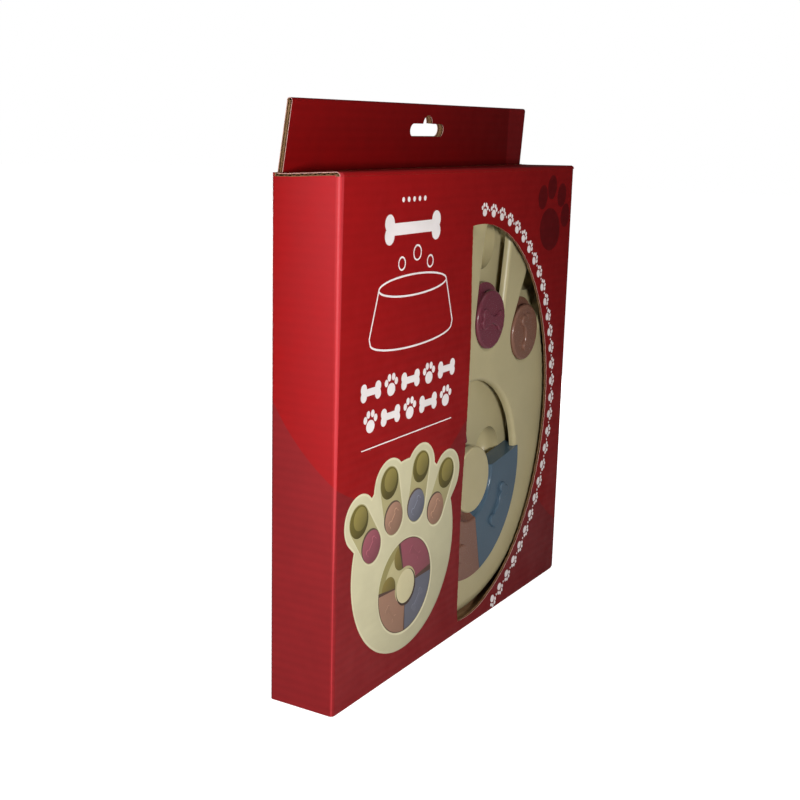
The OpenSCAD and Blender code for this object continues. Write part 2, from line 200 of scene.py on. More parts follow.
def addNoises(group, given, result, layers):
    # layers are output: (coordinates, detail), each with a scale input of its own
    for label, (source, detail) in layers.items():
        inputs = {"Vector": source, "Scale": given.outputs[label + " scale"], "Detail": detail}
        fill(result, {label: addNode(group, "ShaderNodeTexNoise", inputs).outputs[0]})


def makeRidges():
    # board flutes that show faintly through the printed paper, as level ridges
    group, given, result = newGroup("fluteRidges", {"Pitch": 0.0054, "Unevenness": 0.7}, ["Height"])
    place = given.outputs["Coordinates"]
    patchy = addNode(group, "ShaderNodeTexNoise", {"Vector": place, "Scale": 38, "Detail": 3})
    turns = calc(group, "DIVIDE", splitAxes(group, place)["Z"], given.outputs["Pitch"])
    wave = calc(group, "SINE", times(group, turns, 2 * pi))
    strength = calc(group, "SUBTRACT", 1.0, times(group, patchy.outputs[0], given.outputs["Unevenness"]))
    fill(result, {"Height": times(group, wave, strength)})
    return group


def makePaperFibre():
    # short fibres and a soft mottle, for printed and bare paper
    group, given, result = newGroup("paperFibre", {"Fibre scale": 900.0, "Mottle scale": 70.0}, ["Fibre", "Mottle"])
    place = given.outputs["Coordinates"]
    stretch = addNode(group, "ShaderNodeMapping", {"Vector": place, "Scale": (0.35, 1, 1.6)})
    addNoises(group, given, result, {"Fibre": (stretch.outputs[0], 4), "Mottle": (place, 5)})
    return group


def makeMouldGrain():
    # the fine spark texture and slow colour drift of moulded plastic
    group, given, result = newGroup("mouldGrain", {"Grain scale": 1600.0, "Drift scale": 22.0}, ["Grain", "Drift"])
    place = given.outputs["Coordinates"]
    addNoises(group, given, result, {"Grain": (place, 2), "Drift": (place, 4)})
    return group


cartonEdges = {"X": 0.15, "Y": 0.022}
toneSettings = {
    # centre, radius and top of the left and of the right field
    "fields": ((-0.083, 0.240, 0.126, 0.2), (0.205, 0.150, 0.125, 0.1)),
    "divideX": 0.02,
    "soft": 0.0002,
    "backY": 0.0215,
}


def makeCreaseWearAndHighlight():
    # how near a point is to one of the carton's upright edges, for their rubbed print and painted highlight
    group, given, result = newGroup("creaseWearAndHighlight", {"Reach": 0.0015}, ["WearAndHighlight"])
    axes = splitAxes(group, given.outputs["Coordinates"])
    gaps = [calc(group, "SUBTRACT", edge, calc(group, "ABSOLUTE", axes[name])) for name, edge in cartonEdges.items()]
    near = calc(group, "SUBTRACT", 1, calc(group, "DIVIDE", hypotenuse(group, *gaps), given.outputs["Reach"]))
    fill(result, {"WearAndHighlight": calc(group, "MAXIMUM", near, 0)})
    return group


def makeToneFields():
    # the two deeper fields of the print: one below a wide arc on the left, one at the lower right
    group, given, result = newGroup("toneFields", {}, ["Mask"])
    axes = splitAxes(group, given.outputs["Coordinates"])
    # the left arc runs on round the crease, as if the side were unfolded
    unfolded = calc(group, "SUBTRACT", axes["X"], calc(group, "ADD", axes["Y"], cartonEdges["Y"]))
    leftPart = calc(group, "LESS_THAN", axes["X"], toneSettings["divideX"])
    parts = (leftPart, calc(group, "SUBTRACT", 1, leftPart))
    soft, fields = toneSettings["soft"], []
    for (x, z, radius, top), part in zip(toneSettings["fields"], parts):
        gaps = (calc(group, "SUBTRACT", unfolded, x), calc(group, "SUBTRACT", axes["Z"], z))
        outside = ramp(group, hypotenuse(group, *gaps), radius - soft, radius + soft)
        below = calc(group, "LESS_THAN", axes["Z"], top)
        fields.append(times(group, times(group, outside, below), part))
    notBack = calc(group, "LESS_THAN", axes["Y"], toneSettings["backY"])
    fill(result, {"Mask": times(group, calc(group, "ADD", *fields), notBack)})
    return group


ridges, paperFibre, mouldGrain = makeRidges(), makePaperFibre(), makeMouldGrain()
creaseWearAndHighlight, toneFields = makeCreaseWearAndHighlight(), makeToneFields()


def placeGroup(tree, group, place, values=None):
    return addNode(tree, "ShaderNodeGroup", {"Coordinates": place, **(values or {})}, node_tree=group).outputs


def mixColours(tree, factor, first, second, blend="MIX"):
    inputs = {0: factor, 6: first, 7: second}
    return addNode(tree, "ShaderNodeMix", inputs, data_type="RGBA", blend_type=blend).outputs[2]


def addBump(tree, shader, height, size, before=None):
    # size is the bump's strength and depth, before another bump that it adds to
    made = addNode(tree, "ShaderNodeBump", {"Height": height, "Strength": size[0], "Distance": size[1]})
    if before is not None:
        fill(made, {"Normal": before})
    fill(shader, {"Normal": made.outputs[0]})
    return made.outputs[0]


# colours are screen values 0-255, places on the carton are in metres
paperLook = {
    "red": (152, 18, 20),
    "headerRed": (126, 10, 11),
    "headerEnd": (150, 27, 29),
    "toneRed": (134, 31, 34),
    "pawRed": (108, 12, 16),
    # painted highlight colour for the left side and the band beside its front crease
    "paintedSheen": (196, 60, 66),
    # pale colour of the rubbed print on the upright edges, with a painted highlight
    "wornAndHighlight": (196, 114, 118),
    "kraft": (158, 124, 88),
    "kraftDeep": (122, 90, 60),
    "flute": (150, 112, 76),
    "fluteDeep": (104, 74, 48),
    "cut": (226, 190, 182),
    "cutDeep": (190, 140, 130),
    "inkWhite": (236, 228, 226),
    "roughness": 0.42,
    "gloss": 0.12,
    "deepening": 0.74,
    # painted shade at the right-hand end, on the panels and on the header
    "paintedShadeRight": 0.65,
    "paintedShadeRightHeader": 0.5,
    "endSlant": 0.16,
    "endRange": (0.1692, 0.1698),
    "mottleRange": (0.35, 1.3),
    "ridgeRange": (1.0, -4.2),
    "sideX": -0.1495,
    "sideDepth": (0.02, -0.03),
    "sideRise": (0.05, 0.6),
    "bandX": -0.1492,
    "bandY": -0.0205,
    "bandWidth": 0.0036,
    "bandRise": (0.08, 0.3),
    "bandSoft": (-0.0002, 0.0003),
    "bandStrength": 0.6,
    "wearAndHighlightRange": (0.2, 0.52),
    "wearAndHighlightRise": (0.06, 0.34),
    "roughRange": (-0.6, 1.9),
    "ridgeBump": (0.35, 0.00008),
    "fibreBump": (0.05, 0.00005),
}


def printedPaper(name, tint, toned=False, ended=False):
    # toned paper has the two deeper fields, ended paper a paler right-hand end
    look = paperLook
    paint, tree, shader, place = newMaterial(name, look["roughness"], look["gloss"])
    ridge = placeGroup(tree, ridges, place)["Height"]
    fibre = placeGroup(tree, paperFibre, place)
    axes = splitAxes(tree, place)
    shade = fromScreen(*look[tint])

    def tinted(factor, tint):
        return mixColours(tree, factor, shade, fromScreen(*look[tint]))

    def darkened(factor, value):
        return mixColours(tree, factor, shade, (value,) * 3 + (1,), "MULTIPLY")

    def ranged(value, name):
        return ramp(tree, value, *look[name])

    if toned:
        shade = tinted(placeGroup(tree, toneFields, place)["Mask"], "toneRed")
    if ended:
        slanted = calc(tree, "ADD", axes["X"], times(tree, axes["Z"], look["endSlant"]))
        shade = tinted(ranged(slanted, "endRange"), "headerEnd")
    shade = darkened(ranged(fibre["Mottle"], "mottleRange"), look["deepening"])
    shade = darkened(ranged(ridge, "ridgeRange"), look["deepening"])
    # painted shade: the red darkens towards the right-hand end, as the light falls off there
    across = ramp(tree, axes["X"], -cartonEdges["X"], cartonEdges["X"])
    shade = darkened(across, look["paintedShadeRightHeader"] if ended else look["paintedShadeRight"])
    # painted highlight: the left side is paled towards its front crease, more so higher up
    side = times(tree, calc(tree, "LESS_THAN", axes["X"], look["sideX"]), ranged(axes["Y"], "sideDepth"))
    shade = tinted(times(tree, side, ranged(axes["Z"], "sideRise")), "paintedSheen")
    # painted highlight: a pale band on the front beside that crease, wider upward
    bandEdge = calc(tree, "ADD", times(tree, ranged(axes["Z"], "bandRise"), look["bandWidth"]), look["bandX"])
    inBand = ranged(calc(tree, "SUBTRACT", bandEdge, axes["X"]), "bandSoft")
    band = times(tree, inBand, calc(tree, "LESS_THAN", axes["Y"], look["bandY"]))
    shade = tinted(times(tree, band, look["bandStrength"]), "paintedSheen")
    # the print is rubbed pale along the upright edges, with a painted highlight laid over that, brighter towards the
    # top
    wearAndHighlight = placeGroup(tree, creaseWearAndHighlight, place)["WearAndHighlight"]
    patchy = times(tree, wearAndHighlight, ranged(fibre["Fibre"], "wearAndHighlightRange"))
    shade = tinted(times(tree, patchy, ranged(axes["Z"], "wearAndHighlightRise")), "wornAndHighlight")
    fill(shader, {"Base Color": shade, "Roughness": ranged(fibre["Mottle"], "roughRange")})
    ridged = addBump(tree, shader, ridge, look["ridgeBump"])
    addBump(tree, shader, fibre["Fibre"], look["fibreBump"], ridged)
    return paint


bareLook = {
    "roughness": 0.85, "specular": 0.12, "mottleScale": 110.0, "fleckRange": (0.35, 0.68), "range": (0.2, 1.1),
    "bump": (0.35, 0.0001),
}


def barePaper(name, tint, fibreScale=520.0):
    paint, tree, shader, place = newMaterial(name, bareLook["roughness"], bareLook["specular"])
    colour, deep = fromScreen(*paperLook[tint]), fromScreen(*paperLook[tint + "Deep"])
    scales = {"Fibre scale": fibreScale, "Mottle scale": bareLook["mottleScale"]}
    fibre = placeGroup(tree, paperFibre, place, scales)
    flecks = mixColours(tree, ramp(tree, fibre["Fibre"], *bareLook["fleckRange"]), deep, colour)
    fill(shader, {"Base Color": mixColours(tree, ramp(tree, fibre["Mottle"], *bareLook["range"]), flecks, deep)})
    addBump(tree, shader, fibre["Fibre"], bareLook["bump"])
    return paint


inkLook = {
    "roughness": 0.48, "specular": 0.18, "mottled": 0.12, "deep": (0.12, 0.10, 0.06, 1), "range": (0.3, 0.75),
    "bump": (0.4, 0.0001),
}


def flatInk(name, colour=None):
    # an ink without a colour of its own takes the mesh's
    paint, tree, shader, place = newMaterial(name, inkLook["roughness"], inkLook["specular"])
    fibre = placeGroup(tree, paperFibre, place)
    ridge = placeGroup(tree, ridges, place)
    if colour:
        source = fromScreen(*colour)
    else:
        source = addNode(tree, "ShaderNodeAttribute", attribute_name="ink").outputs["Color"]
    dark = mixColours(tree, inkLook["mottled"], source, inkLook["deep"])
    fill(shader, {"Base Color": mixColours(tree, ramp(tree, fibre["Mottle"], *inkLook["range"]), source, dark)})
    addBump(tree, shader, ridge["Height"], inkLook["bump"])
    return paint


plasticLook = {
    "cream": (184, 172, 132),
    "plum": (108, 50, 62),
    "roseBrown": (124, 86, 70),
    "slateBlue": (71, 91, 106),
    "rubber": (44, 44, 44),
    "steel": (190, 190, 194),
    "dulling": 0.84,
    "driftRange": (0.3, 0.75),
    "roughSpread": 0.2,
    "grainBump": (0.3, 0.000012),
    "depth": {"Subsurface Weight": 0.04, "Subsurface Radius": (0.002, 0.0015, 0.001)},
}


def mouldedPlastic(name, tint, roughness=0.36, specular=0.4):
    look = plasticLook
    paint, tree, shader, place = newMaterial(name, roughness, specular)
    grain = placeGroup(tree, mouldGrain, place)
    bright = fromScreen(*look[tint])
    dull = tuple(c * look["dulling"] for c in bright[:3]) + (1,)
    drifted = mixColours(tree, ramp(tree, grain["Drift"], *look["driftRange"]), bright, dull)
    spread = look["roughSpread"]
    rough = ramp(tree, grain["Grain"], 0.5 - roughness / spread, 0.5 + (1 - roughness) / spread)
    fill(shader, {"Base Color": drifted, "Roughness": rough, **look["depth"]})
    addBump(tree, shader, grain["Grain"], look["grainBump"])
    return paint


redPrint = printedPaper("redPrint", "red", toned=True)
headerPrint = printedPaper("headerPrint", "headerRed", ended=True)
tonePrint = printedPaper("tonePrint", "pawRed")
kraftPaper = barePaper("kraftPaper", "kraft")
flutePaper = barePaper("flutePaper", "flute", 800.0)
cutPaper = barePaper("cutPaper", "cut", 1200.0)
whiteInk = flatInk("whiteInk", paperLook["inkWhite"])
pictureInk = flatInk("pictureInk")
creamPlastic = mouldedPlastic("creamPlastic", "cream")
plumPlastic = mouldedPlastic("plumPlastic", "plum", 0.24, 0.5)
brownPlastic = mouldedPlastic("brownPlastic", "roseBrown", 0.24, 0.5)
bluePlastic = mouldedPlastic("bluePlastic", "slateBlue", 0.22, 0.5)
footRubber = mouldedPlastic("footRubber", "rubber", 0.7, 0.2)
screwSteel = mouldedPlastic("screwSteel", "steel", 0.3, 0.5)
screwSteel.node_tree.nodes["Principled BSDF"].inputs["Metallic"].default_value = 1.0
print("materials ready")

carton = {
    "width": 300, "depth": 44, "height": 300, "board": 1.8, "crease": 2.6, "liner": 0.3, "medium": 0.22,
    "flutePitch": 5.4, "inset": 0.15, "knockedCorner": 6, "sideTop": 298.0, "innerGap": 0.02, "rowStep": 1.5,
    "bottomShare": 0.3, "cornerCuts": ((145, 147, 148.5), (1, 2.5, 4.5)),
}
lift = {"height": 2.2, "from": 270, "to": 297, "startY": 12, "reach": 34, "middle": 0.65, "slope": 0.35}
window = {
    "rough": 0.22, "waves": (1.9, 0.83), "roughFrom": 25, "x": 9.5, "z": 136.5, "halfWidth": 111, "halfHeight": 130.3,
    "cut": ((0, -2.1), (70, -2.1), (110, -1.2), (132, -0.2), (192, 1.1), (252, -1), (270, -1.3)),
}
header = {
    "height": 37.5, "lean": 6, "inset": 6, "taper": 3, "start": 0.38, "slotRise": 19.5, "slotWidth": 41.4,
    "slotHeight": 7.9, "slotX": 4.2, "skew": -2, "notch": 5.8,
}
bow = {
    "depth": 1.1, "from": 85, "to": 150, "halfSpan": 146, "foot": 14, "frontOf": -15,
    # where the bowed meshes are cut, so that they can bend
    "boardCuts": range(-140, 147, 7), "fluteCuts": range(-132, 145, 12),
    "inkCuts": (range(-147, 148, 9), range(0, 150, 4)),
}
lid = {"half": 149.4, "reach": 37.6, "start": 0.1}
tuck = {"y": -19.6, "top": 297.3, "length": 20.7, "half": 147.2, "straight": 0.8, "taper": 0.4}
dustFlap = {"x": 147.8, "y": 3.1, "top": 297.8, "length": 30.7, "half": 14, "taper": 0.13}
bottomLength = 40.4
rolled = {"step": 0.9, "ripple": 0.06, "bends": 10}
sharp = {"board": 30, "crease": 40, "flutes": 50, "moulded": 28}

halfWidth, halfDepth = carton["width"] / 2, carton["depth"] / 2
board, crease, inset = carton["board"], carton["crease"], carton["inset"]
cartonTop, headerRise = carton["height"], header["height"]
frontTop = cartonTop - crease
frontFace = -halfDepth + inset


def smoothStep(low, high, value):
    t = min(1, max(0, (value - low) / (high - low)))
    return t * t * (3 - 2 * t)


def frontBow(x, z):
    # how far the front gives inwards at its slack lower middle
    across = max(0, 1 - (x / bow["halfSpan"]) ** 2)
    return bow["depth"] * across * smoothStep(bow["to"], bow["from"], z) * smoothStep(0, bow["foot"], z)


def bowIn(verts, shift=0):
    for vert in verts:
        vert.co.y += (shift + frontBow(vert.co.x / mm, vert.co.z / mm)) * mm


def point(x, y, z):
    return Vector((x * mm, y * mm, z * mm))


def softenCorner(shape):
    # the lower right end of the carton is knocked round
    r = carton["knockedCorner"] * mm
    for vert in shape.verts:
        across, down = vert.co.x - (halfWidth * mm - r), r - vert.co.z
        away = hypot(across, down)
        if across > 0 and down > 0 and away > r:
            vert.co.x -= across * (1 - r / away)
            vert.co.z += down * (1 - r / away)


def liftFront(shape):
    # the sprung lid holds the top front edge up a little, most at its left end
    for vert in shape.verts:
        forward = min(1, max(0, (lift["startY"] - vert.co.y / mm) / lift["reach"]))
        leftward = lift["middle"] - lift["slope"] * vert.co.x / (halfWidth * mm)
        vert.co.z += lift["height"] * smoothStep(lift["from"], lift["to"], vert.co.z / mm) * forward * leftward * mm


# each place takes a distance along a board, one across it and a depth into it
def frontPlace(s, u, depth):
    return point(u, frontFace + depth, s)


def sidePlace(sign):
    return lambda s, u, depth: point(sign * (halfWidth - inset - depth), u, s)


def leanPlace(y, z):
    lean = radians(header["lean"])
    across, up = cos(lean), sin(lean)
    return halfDepth + y * across - z * up, cartonTop + y * up + z * across


def backPlace(s, u, depth):
    if s <= cartonTop:
        return point(u, halfDepth - inset - depth, s)
    return point(u, *leanPlace(-inset - depth, s - cartonTop))


def headerPlace(s, u, depth):
    # up the front ply and over the fold at its top
    if s <= headerRise:
        return point(u, *leanPlace(-2 * board + depth, s))
    turn = (s - headerRise) / board
    reach = board - depth
    return point(u, *leanPlace(-board - reach * cos(turn), headerRise + reach * sin(turn)))


lidArc = crease * pi / 2


def lidPlace(s, u, depth):
    # round the front crease, then back to the hinge
    if s <= lidArc:
        turn = s / crease
        reach = crease - inset - depth
        return point(u, -halfDepth + crease - reach * cos(turn), frontTop + reach * sin(turn))
    return point(u, -halfDepth + crease + s - lidArc, cartonTop - inset - depth)


def tuckPlace(s, u, depth):
    return point(u, tuck["y"] + depth, tuck["top"] - s)


def dustPlace(sign):
    return lambda s, u, depth: point(sign * (dustFlap["x"] - s), dustFlap["y"] + u, dustFlap["top"] - depth)


def bottomPlace(s, u, depth):
    return point(u, -halfDepth + board + s, inset * carton["bottomShare"] + depth)


def fillHoles(rows):
    # four edges for each row, where a row without a hole takes over the last one's
    lastHole, filled = None, []
    firstHole = next((row[3] for row in rows if row[3]), None)
    for s, low, high, hole in rows:
        lastHole = hole or lastHole or firstHole or (low + (high - low) / 3, low + (high - low) * 2 / 3)
        filled.append((s, [low, *lastHole, high], hole is not None))
    return filled


def addFace(shape, corners, paint):
    face = shape.faces.new(corners)
    face.material_index = paint


def sheetMesh(shape, rows, place, outer, inner, paints):
    # a thin sheet between two depths: rows are (along, low, high, hole), paints are outside, inside and cut edge
    filled = fillHoles(rows)
    top, under = [
        [[shape.verts.new(place(s, u, depth)) for u in edges] for s, edges, _ in filled] for depth in (outer, inner)
    ]
    for i in range(len(rows) - 1):
        openHere = filled[i][2] and filled[i + 1][2]
        for k in (0, 2) if openHere else (0, 1, 2):
            addFace(shape, (top[i][k], top[i][k + 1], top[i + 1][k + 1], top[i + 1][k]), paints[0])
            addFace(shape, (under[i][k], under[i + 1][k], under[i + 1][k + 1], under[i][k + 1]), paints[1])
        for k in (0, 1, 2, 3) if openHere else (0, 3):
            addFace(shape, (top[i][k], top[i + 1][k], under[i + 1][k], under[i][k]), paints[2])
    for i in (0, len(rows) - 1):
        for k in range(3):
            addFace(shape, (top[i][k], top[i][k + 1], under[i][k + 1], under[i][k]), paints[2])
    for i in range(1, len(rows)):
        if filled[i][2] != filled[i - 1][2]:
            k = i if filled[i][2] else i - 1
            if filled[k][1][2] - filled[k][1][1] > 0.01:
                addFace(shape, (top[k][1], top[k][2], under[k][2], under[k][1]), paints[2])


def boardRows(length, spans, extra, step, start):
    count = max(1, round((length - start) / step))
    marks = {round(start + (length - start) * i / count, 4) for i in range(count + 1)}
    marks |= {round(v, 4) for v in extra if start <= v <= length}
    return [(s, *spans(s)) for s in sorted(marks)]


def closeShape(shape, clean=2e-6):
    bmesh.ops.remove_doubles(shape, verts=shape.verts, dist=clean)
    bmesh.ops.dissolve_degenerate(shape, dist=clean, edges=shape.edges)
    bmesh.ops.recalc_face_normals(shape, faces=shape.faces)


def sliceShape(shape, xMarks=(), zMarks=()):
    for marks, direction in ((xMarks, (1, 0, 0)), (zMarks, (0, 0, 1))):
        for mark in marks:
            spot = Vector(direction) * mark * mm
            geometry = shape.verts[:] + shape.edges[:] + shape.faces[:]
            bmesh.ops.bisect_plane(shape, geom=geometry, plane_co=spot, plane_no=direction, dist=1e-7)


def fromShape(name, shape):
    mesh = bpy.data.meshes.new(name)
    shape.to_mesh(mesh)
    shape.free()
    return addObject(name, mesh)


def smoothen(piece, angle):
    piece.data.shade_smooth()
    piece.data.set_sharp_from_angle(angle=radians(angle))


def finishPiece(name, shape, paints, angle=sharp["board"]):
    piece = fromShape(name, shape)
    for paint in paints:
        piece.data.materials.append(paint)
    smoothen(piece, angle)
    return piece


boardPaints = [redPrint, kraftPaper, cutPaper]
fluteBases = {}


def fluteBase(body):
    if body not in fluteBases:
        shape = bmesh.new()
        layers = shape.verts.layers
        fluteBases[body] = (shape, layers.float.new("along"), layers.float_vector.new("facing"))
    return fluteBases[body]


def addFlutes(body, rows, place):
    # the middle line of the fluted paper, which the flute tree then turns into waves
    shape, along, facing = fluteBase(body)
    before, wasOpen = None, False
    for s, edges, isOpen in fillHoles(rows):
        line = []
        for u in edges:
            vert = shape.verts.new(place(s, u, board / 2))
            vert[along] = s * mm
            vert[facing] = (place(s, u, 0) - place(s, u, board / 2)).normalized()
            line.append(vert)
        if before:
            for k in (0, 2) if isOpen and wasOpen else (0, 1, 2):
                shape.faces.new((before[k], before[k + 1], line[k + 1], line[k]))
        before, wasOpen = line, isOpen


def makeBoard(
    name, body, node, length, spans, place, extra=(), start=0.0, bendX=(), paints=boardPaints, fluteEnd=None,
):
    shape = bmesh.new()
    rows = boardRows(length, spans, extra, carton["rowStep"], start)
    sheetMesh(shape, rows, place, 0, carton["liner"], (0, 1, 2))
    sheetMesh(shape, rows, place, board - carton["liner"], board - carton["innerGap"], (1, 1, 1))
    closeShape(shape)
    if bendX:
        sliceShape(shape, bendX)
        bowIn(shape.verts)
    if body == "carton":
        sliceShape(shape, *carton["cornerCuts"])
        softenCorner(shape)
    liftFront(shape)
    piece = finishPiece(name, shape, paints)
    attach(piece, body)
    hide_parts(node)
    addFlutes(body, boardRows(fluteEnd or length, spans, extra, carton["flutePitch"] / 12, start), place)


def endTree(tree, source, paper, result):
    real = addNode(tree, "GeometryNodeRealizeInstances", {0: source.outputs[0]})
    coat = addNode(tree, "GeometryNodeSetMaterial", {"Geometry": real.outputs[0], "Material": paper})
    fill(result, {0: coat.outputs[0]})
    return tree


def fluteTree():
    # pushes the sheet to and fro along its facing, as a wave of the board's flutes
    inputs = {"Sheet": "Geometry", "Flute pitch": "Float", "Flute height": "Float", "Paper": "Material"}
    tree, given, result = newTree("cartonFluting", "GeometryNodeTree", inputs, {"Fluting": "Geometry"})
    along = addNode(tree, "GeometryNodeInputNamedAttribute", {"Name": "along"}, data_type="FLOAT")
    facing = addNode(tree, "GeometryNodeInputNamedAttribute", {"Name": "facing"}, data_type="FLOAT_VECTOR")
    turns = calc(tree, "DIVIDE", along.outputs["Attribute"], given.outputs["Flute pitch"])
    wave = calc(tree, "SINE", times(tree, turns, 2 * pi))
    push = times(tree, wave, times(tree, given.outputs["Flute height"], 0.5))
    inputs = {0: facing.outputs["Attribute"], "Scale": push}
    shift = addNode(tree, "ShaderNodeVectorMath", inputs, operation="SCALE")
    inputs = {"Geometry": given.outputs["Sheet"], "Offset": shift.outputs[0]}
    return endTree(tree, addNode(tree, "GeometryNodeSetPosition", inputs), given.outputs["Paper"], result)


def addTree(piece, name, tree, values):
    modifier = piece.modifiers.new(name, "NODES")
    modifier.node_group = tree
    for item in tree.interface.items_tree:
        if item.item_type == "SOCKET" and item.in_out == "INPUT" and item.name in values:
            modifier[item.identifier] = values[item.name]


def applied(piece, name):
    bpy.context.view_layer.update()
    graph = bpy.context.evaluated_depsgraph_get()
    mesh = bpy.data.meshes.new_from_object(piece.evaluated_get(graph), depsgraph=graph)
    bpy.data.objects.remove(piece)
    made = addObject(name, mesh)
    mesh.name = name
    return made


def makeFluting():
    tree = fluteTree()
    waveHeight = board - 2 * carton["liner"] - carton["medium"]
    values = {"Flute pitch": carton["flutePitch"] * mm, "Flute height": waveHeight * mm, "Paper": flutePaper}
    for body, (shape, _, _) in fluteBases.items():
        if body == "carton":
            sliceShape(shape, bow["fluteCuts"])
            bowIn([vert for vert in shape.verts if vert.co.y < bow["frontOf"] * mm])
            softenCorner(shape)
        liftFront(shape)
        base = fromShape("flutes", shape)
        addTree(base, "waves", tree, values)
        thick = base.modifiers.new("thickness", "SOLIDIFY")
        thick.thickness = carton["medium"] * mm
        thick.offset = 0
        made = applied(base, body + "Fluting")
        smoothen(made, sharp["flutes"])
        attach(made, body)


def between(marks, value):
    for (a, first), (b, last) in zip(marks, marks[1:]):
        if value <= b:
            return first + (last - first) * smoothStep(a, b, max(a, value))
    return marks[-1][1]


def windowHole(z):
    # the straight side of the cut wanders a little along its height
    across = 1 - ((z - window["z"]) / window["halfHeight"]) ** 2
    if across < -1e-9:
        return None
    half = window["halfWidth"] * sqrt(max(0, across))
    quick, slow = window["waves"]
    rough = window["rough"] * (sin(z * quick) + sin(z * slow + 1)) * smoothStep(0, window["roughFrom"], half)
    return max(between(window["cut"], z) + rough / 2, window["x"] - half), window["x"] + half + rough


windowRows = [window["z"] + window["halfHeight"] * sin(radians(a)) for a in range(-90, 91, 2)]
flatHalf = halfWidth - crease
makeBoard(
    "frontPrinted", "carton", "front_panel", frontTop, lambda s: (-flatHalf, flatHalf, windowHole(s)), frontPlace,
    extra=windowRows, bendX=bow["boardCuts"],
)


slotFoot, slotTop, notch = header["slotRise"], header["slotHeight"], header["notch"]
slotMarks = [slotFoot + slotTop / 2 * (1 - cos(radians(a))) for a in range(0, 181, 15)]
slotMarks += [slotFoot + slotTop + 0.002]
slotMarks += [slotFoot + slotTop - notch / 10 + notch * sin(radians(a)) for a in range(6, 91, 7)]


def slotHole(rise, shift):
    # the hang slot's width at a height above the header's foot
    up, centre = rise - slotFoot, header["slotX"] + shift
    notchUp = up - (slotTop - notch / 10)
    if 0 <= up <= slotTop:
        r = slotTop / 2
        half = header["slotWidth"] / 2 - r + sqrt(max(0, r * r - (up - r) ** 2))
    elif slotTop < up and abs(notchUp) <= notch:
        half = sqrt(max(0, notch ** 2 - notchUp ** 2))
    else:
        return None
    return centre - half, centre + half


def headerHalf(rise):
    return halfWidth - header["inset"] - header["taper"] * min(rise, headerRise) / headerRise


def backSpans(s):
    rise = s - cartonTop
    half = flatHalf if rise <= 0 else headerHalf(rise)
    return -half, half, slotHole(rise, header["skew"]) if rise > 0 else None


makeBoard(
    "backPrinted", "carton", "back_panel", cartonTop + headerRise, backSpans, backPlace,
    extra=[cartonTop + v for v in [0, 0.002] + slotMarks],
)
foldArc = pi * board
makeBoard(
    "headerPrinted", "carton", "header_front_ply", headerRise + foldArc,
    lambda s: (-headerHalf(s), headerHalf(s), slotHole(s, 0)), headerPlace,
    extra=slotMarks + [headerRise + foldArc * i / 12 for i in range(13)],
    start=header["start"], fluteEnd=headerRise, paints=[headerPrint, kraftPaper, cutPaper],
)


def evenSpans(half, taper=0.0, straight=0.0):
    # a board that narrows evenly beyond a straight length
    def spans(s):
        reach = half - max(0, s - straight) * taper
        return -reach, reach, None
    return spans


sides = ((-1, "left"), (1, "right"))
sideSpans = evenSpans(halfDepth - crease)
for sign, side in sides:
    makeBoard(side + "Printed", "carton", side + "_side_panel", carton["sideTop"], sideSpans, sidePlace(sign))
makeBoard(
    "lidPrinted", "lid", "lid_panel", lidArc + lid["reach"], evenSpans(lid["half"]), lidPlace,
    extra=[lidArc * i / 10 for i in range(11)], start=lid["start"],
)
tuckSpans = evenSpans(tuck["half"], tuck["taper"], tuck["straight"])
makeBoard("tuckPrinted", "lid_tuck", "lid_tuck_flap", tuck["length"], tuckSpans, tuckPlace)
flapSpans = evenSpans(dustFlap["half"], dustFlap["taper"])
for sign, side in sides:
    body, node = "dust_flap_" + side, "top_dust_flap_" + side
    makeBoard(side + "DustFlap", body, node, dustFlap["length"], flapSpans, dustPlace(sign))
makeBoard("bottomPrinted", "carton", "bottom_outer_flap", bottomLength, evenSpans(flatHalf), bottomPlace)
for node in ("glue_flap", "bottom_inner_flap", "bottom_dust_flap_left", "bottom_dust_flap_right"):
    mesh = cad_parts[node].data
    mesh.materials.clear()
    mesh.materials.append(kraftPaper)
makeFluting()
print("board made")


def makeCorner(name, xSign, ySign, top):
    # the rolled upright crease between two panels
    shape = bmesh.new()
    count, bends, rings = round(top / rolled["step"]), rolled["bends"], []
    for z in [top * i / count for i in range(count + 1)]:
        ring = []
        ripple = rolled["ripple"] * sin(2 * pi * z / carton["flutePitch"])
        for reach, steps in ((crease - inset, range(bends + 1)), (crease - board, range(bends, -1, -1))):
            for k in steps:
                turn = radians(90 / bends * k)
                soft = ripple * sin(2 * turn) if reach > board else 0
                r = reach - abs(soft)
                x, y = flatHalf + r * sin(turn), halfDepth - crease + r * cos(turn)
                ring.append(shape.verts.new(point(xSign * x, ySign * y, z)))
        rings.append(ring)
    around = len(rings[0])
    for low, high in zip(rings, rings[1:]):
        for k in range(around):
            nextK = (k + 1) % around
            addFace(shape, (low[k], low[nextK], high[nextK], high[k]), 0 if k < bends else 1)
    for ring in (rings[0], rings[-1]):
        for k in range(bends):
            corners = (ring[k], ring[k + 1], ring[around - 2 - k], ring[around - 1 - k])
            addFace(shape, corners, 0 if ySign > 0 else 2)
    closeShape(shape)
    softenCorner(shape)
    liftFront(shape)
    piece = finishPiece(name, shape, boardPaints, sharp["crease"])
    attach(piece, "carton")


for xSign, xName in sides:
    for ySign, yName, top in ((-1, "Front", frontTop), (1, "Back", cartonTop)):
        makeCorner(xName + yName + "Crease", xSign, ySign, top)
print("creases made")


def arcLine(x, z, reachX, reachZ, start=0.0, sweep=2 * pi, steps=48):
    turns = [start + sweep * i / steps for i in range(steps + 1)]
    return [(x + reachX * cos(a), z + reachZ * sin(a)) for a in turns]


def circleLine(x, z, r, steps=48, squash=1.0):
    return arcLine(x, z, r, r * squash, steps=steps)[:-1]


